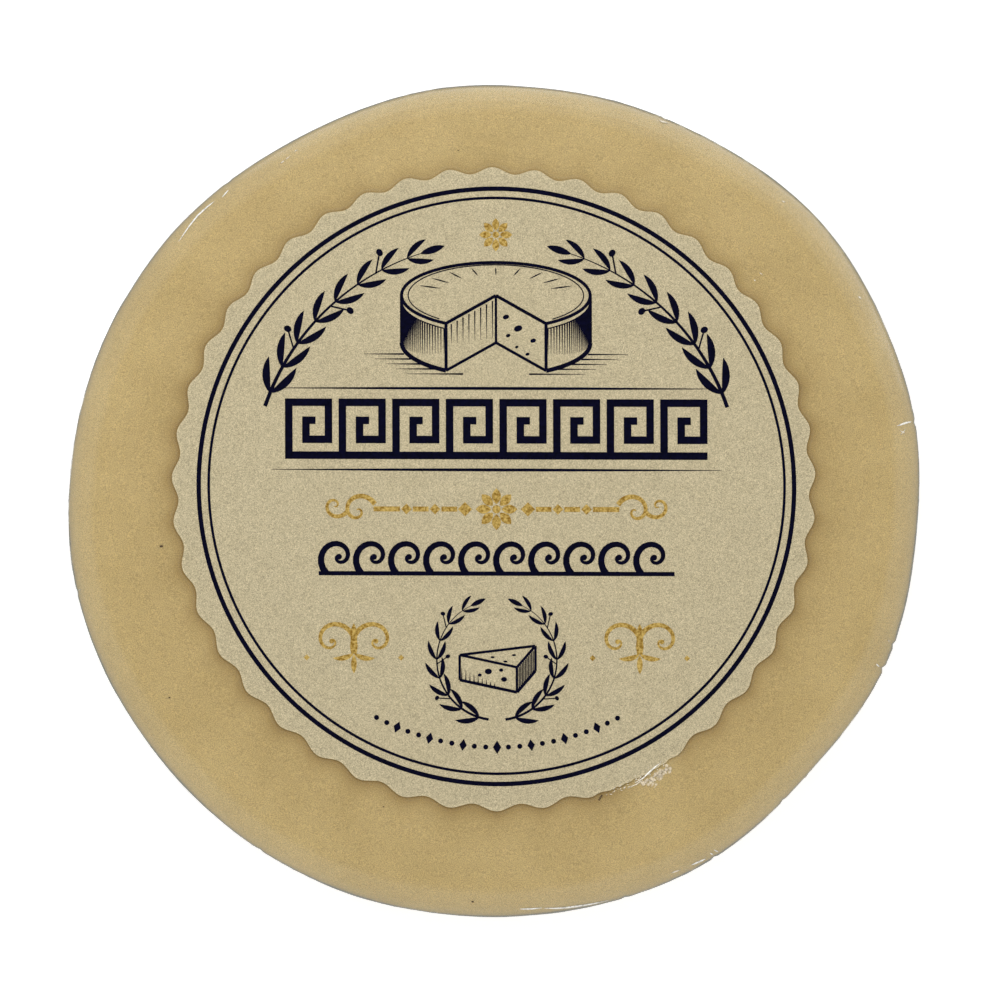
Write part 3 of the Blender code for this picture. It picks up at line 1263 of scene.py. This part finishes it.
# %% [markdown]
# ## The crumple beside the label
#
# At the lower right the film is crushed into many short wrinkles over the label's edge, with a pale
# haze beside them. The wrinkles are more creases, scattered by a seeded random draw, so that they
# come out the same each time. The haze is many wider and flatter ones. The faint creases elsewhere
# on the film join the wrinkles.

# %% Lay the crumple
WRINKLES = 46
WRINKLE_ARC = (290.5, 12.5)
CORNER_SHARE = 0.6
HAZE_STROKES = 34
HAZE_ARC = (296.6, 6.2)

random.seed(12)
wrinkles = []
for at in range(WRINKLES):
    share = random.random()
    turn = WRINKLE_ARC[0] + WRINKLE_ARC[1] * share
    inside = 14.6 + 0.7 * share + random.gauss(0, 0.32)
    if share > CORNER_SHARE:
        inside -= abs(random.gauss(0, 0.9))
    length = random.uniform(0.25, 0.7)
    slant = random.uniform(-0.5, 0.5) + (0.4 if share > CORNER_SHARE else 0.0)
    end = (turn + length, inside + slant * length)
    wrinkles.append(([(turn, inside), end], random.uniform(0.08, 0.16), 0.35, 6, 6))
film_wrinkles = lay_creases(FAINT_CREASES + wrinkles, "film_wrinkles")

haze = []
for at in range(HAZE_STROKES):
    share = (at + random.random()) / HAZE_STROKES
    turn = HAZE_ARC[0] + HAZE_ARC[1] * share
    inside = 14.25 - 0.6 * math.sin(math.pi * share) + random.gauss(0, 0.34)
    length = random.uniform(0.5, 1.3)
    end = (turn + length, inside + random.uniform(0.0, 0.5) * length)
    haze.append(([(turn, inside), end], random.uniform(0.35, 0.7), 0.08, 10, 12))
film_haze = lay_creases(haze, "film_haze")

# %% [markdown]
# ## The finish of the creases
#
# A crease's glint is painted: it is coloured white and half see-through, with a gloss of its own.
# One Principled shader with a broken alpha does all three. Fainter creases also take their alpha
# from the painted number, which leaves them without a hard border.

# %% Finish the creases
def crease_finish(name, colour, alpha, gloss=0.5, fading=False):
    material, tree = new_finish(name)
    where = object_place(tree)
    broken = rescale(tree, noise_of(tree, where, 0.5 * MM), 0.35, 0.55, 0.5 * alpha, alpha)
    if fading:
        broken = maths(tree, "MULTIPLY", broken, painted(tree, "soft"))
    look = {"Base_Color": colour, "Roughness": 0.25, "Specular_IOR_Level": gloss}
    set_surface(tree, Alpha=broken, **look)
    return material


# The white of the creases and the pale of the faint wrinkles are painted glints
film_creases.data.materials.append(crease_finish("film_crease_painted_glint", (0.98, 0.96, 0.88, 1.0), 1.0))
faint = crease_finish("faint_wrinkle_painted_glint", (0.92, 0.84, 0.68, 1.0), 1.0, fading=True)
film_wrinkles.data.materials.append(faint)
hazy = crease_finish("film_haze", (1.0, 0.86, 0.63, 1.0), 0.70, gloss=0.05, fading=True)
film_haze.data.materials.append(hazy)

# %% [markdown]
# ## Specks
#
# A few dark crumbs are caught between the cheese and the film. At the crumple a row of the same
# dark specks is painted shadow under a fold. Each is a squashed icosphere.

# %% Scatter the specks
SPECKS = [
    (187.8, 12.93, 0.20),
    (266.8, 2.04, 0.15),
    (211.2, 6.23, 0.12),
    (250.0, 13.2, 0.10),
    (96.0, 9.0, 0.09),
    # These four are painted shadow under a fold at the crumple
    (289.15, 14.17, 0.11),
    (289.40, 14.33, 0.12),
    (289.65, 14.49, 0.12),
    (289.90, 14.65, 0.11),
]


def make_specks():
    bm = bmesh.new()
    for turn, inside, size in SPECKS:
        point, normal = film_spot(turn, inside * MM)
        place = Matrix.Translation(point) @ normal.to_track_quat("Z", "Y").to_matrix().to_4x4()
        place = place @ Matrix.Diagonal((1.3, 0.8, 0.25, 1.0))
        bmesh.ops.create_icosphere(bm, subdivisions=2, radius=size * MM, matrix=place)
    return finish_piece(bm, "specks")


def speck_finish():
    material, tree = new_finish("crumbs_and_painted_fold_shadow")
    tone = noise_of(tree, object_place(tree), 0.1 * MM)
    colour = blend_colours(tree, tone, (0.035, 0.020, 0.008, 1.0), (0.11, 0.065, 0.025, 1.0))
    set_surface(tree, Base_Color=colour, Roughness=0.6)
    return material


specks = make_specks()
specks.data.materials.append(speck_finish())

# %% [markdown]
# ## The floor, the light and the camera
#
# The picture is taken from straight above on a white floor, a sheet of acrylic that glows a little
# from below and so takes nearly no shadow. It throws no light back on the wheel, which keeps the
# turned-down rim deeper in tone than the top. Most of the light comes from a white surround, some
# from a soft window towards the label's top and a little from a fill light opposite. A wide white
# board beyond the label's top is there only to be mirrored, as a pale veil on the film of the rim.
# The surround is dark straight above, as it is round a camera, so that the level film mirrors
# nothing bright into the lens and the ink under it stays black. The camera stands far off with a
# long lens, so the upright sides of the wheel stay hidden behind its rim.

# %% Set the stage
PIXEL = 0.1402 * MM
PICTURE_PIXELS = 1000
WHEEL_PIXEL = (495.05, 500.52)
CAMERA_HEIGHT = 3.0
RIM_HEIGHT = 20.0 * MM
SENSOR = 36.0
FLOOR_GLOW = 0.5
FLOOR_HALF = 1.6
FLOOR_GAP = 0.02 * MM


def make_floor():
    bm = bmesh.new()
    bmesh.ops.create_grid(bm, x_segments=8, y_segments=8, size=FLOOR_HALF)
    mesh = bpy.data.meshes.new("floor")
    bm.to_mesh(mesh)
    bm.free()
    floor = bpy.data.objects.new("floor", mesh)
    floor.location.z = -FLOOR_GAP
    floor.visible_diffuse = False
    floor.visible_glossy = False
    bpy.context.scene.collection.objects.link(floor)
    material, tree = new_finish("pale_floor")
    tone = noise_of(tree, object_place(tree), 0.12)
    colour = blend_colours(tree, tone, (0.90, 0.90, 0.90, 1.0), (0.92, 0.92, 0.92, 1.0))
    glow = {"Emission_Color": (1.0, 1.0, 1.0, 1.0), "Emission_Strength": FLOOR_GLOW}
    set_surface(tree, Base_Color=colour, Roughness=0.8, **glow)
    mesh.materials.append(material)


def make_camera():
    data = bpy.data.cameras.new("overhead_camera")
    camera = bpy.data.objects.new("overhead_camera", data)
    bpy.context.scene.collection.objects.link(camera)
    half = PICTURE_PIXELS / 2
    across = (half - WHEEL_PIXEL[0]) * PIXEL
    along = (WHEEL_PIXEL[1] - half) * PIXEL
    camera.location = WHEEL_CENTRE + Vector((across, along, CAMERA_HEIGHT))
    reference = CAMERA_HEIGHT - RIM_HEIGHT
    data.sensor_width = SENSOR
    data.lens = SENSOR * reference / (PICTURE_PIXELS * PIXEL)
    data.clip_end = 10.0
    bpy.context.scene.camera = camera
    print("lens", round(data.lens), "mm at", CAMERA_HEIGHT, "m")


def area_light(name, at, size, watts, mirrored=False):
    """A soft light that faces the origin. A mirrored one shows in the gloss and lights nothing."""
    data = bpy.data.lights.new(name, "AREA")
    data.shape = "RECTANGLE"
    data.size, data.size_y = size
    data.energy = watts
    lamp = bpy.data.objects.new(name, data)
    lamp.location = at
    lamp.rotation_euler = (-Vector(at)).to_track_quat("-Z", "Y").to_euler()
    lamp.visible_camera = False
    lamp.visible_glossy = mirrored
    lamp.visible_diffuse = not mirrored
    bpy.context.scene.collection.objects.link(lamp)


def make_surround(strength, below, zenith):
    """A white world, dark straight above and below."""
    world = bpy.data.worlds.new("white_surround")
    world.use_nodes = True
    tree = world.node_tree
    way = add_node(tree, "TexCoord").outputs["Generated"]
    axes = add_node(tree, "SeparateXYZ", Vector=way).outputs
    above = rescale(tree, axes["Z"], 0.72, 0.93, strength, zenith)
    level = rescale(tree, axes["Z"], -0.97, -0.30, below, above)
    tree.links.new(level, tree.nodes["Background"].inputs["Strength"])
    tree.nodes["Background"].inputs["Color"].default_value = (1.0, 1.0, 1.0, 1.0)
    bpy.context.scene.world = world


make_floor()
make_camera()
make_surround(strength=0.93, below=0.25, zenith=0.04)
area_light("window", (-0.025, 0.112, 0.28), (0.24, 0.24), 0.38)
area_light("fill", (0.0, -0.34, 0.50), (0.4, 0.4), 0.42)
area_light("board", (0.34, 0.94, -0.20), (2.5, 1.6), 10.5, mirrored=True)
bpy.context.scene.view_settings.view_transform = "Standard"
